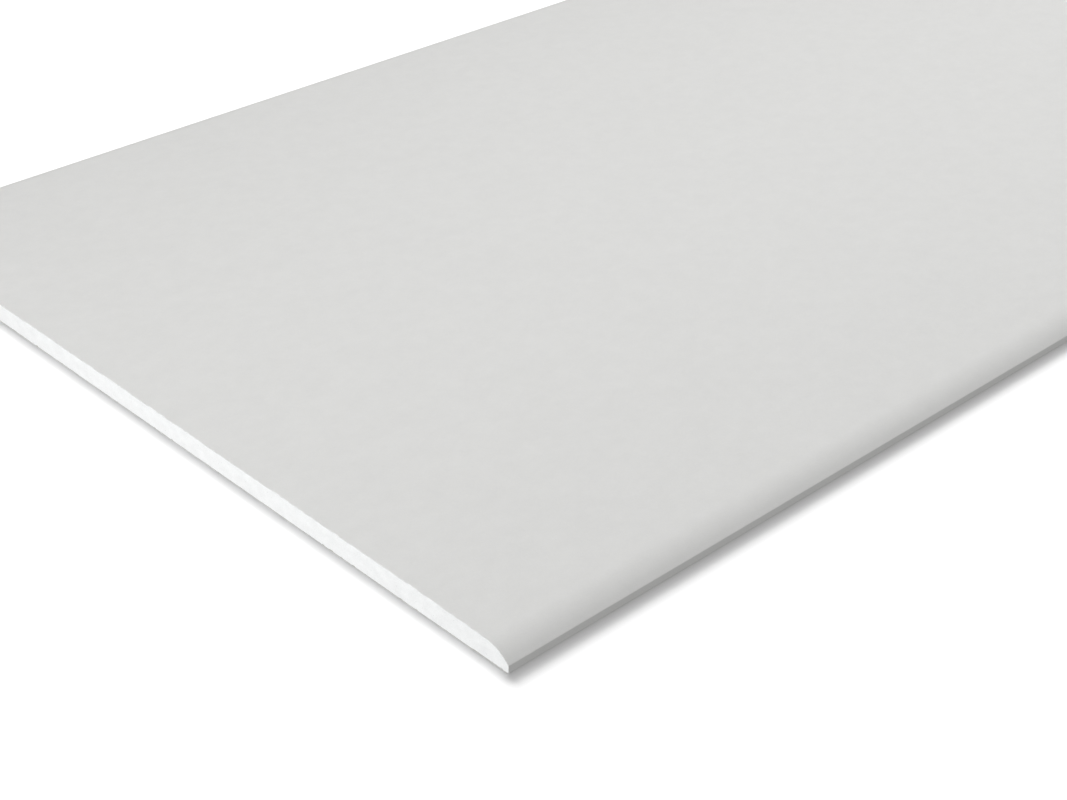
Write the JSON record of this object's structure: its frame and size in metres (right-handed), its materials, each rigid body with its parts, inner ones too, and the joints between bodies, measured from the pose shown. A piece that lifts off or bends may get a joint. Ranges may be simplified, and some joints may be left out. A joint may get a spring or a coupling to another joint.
{
  "type": "drywall sheet",
  "caption": "Rectangular sheet of plasterboard: a gypsum core in grey liner paper, with tapered half-round long edges and square cut ends.",
  "frame": {"origin": "middle of the sheet's back, on the surface that the sheet lies on", "axes": "+X across the sheet's width, +Y along its length, +Z out of its face"},
  "size_m": [0.6, 2, 0.0125],
  "materials": {
    "gypsum": "matte",
    "face_liner": "matte",
    "back_liner": "matte"
  },
  "bodies": {
    "root": {"gypsum_core": "gypsum", "face_paper": "face_liner", "back_paper": "back_liner"}
  },
  "joints": []
}
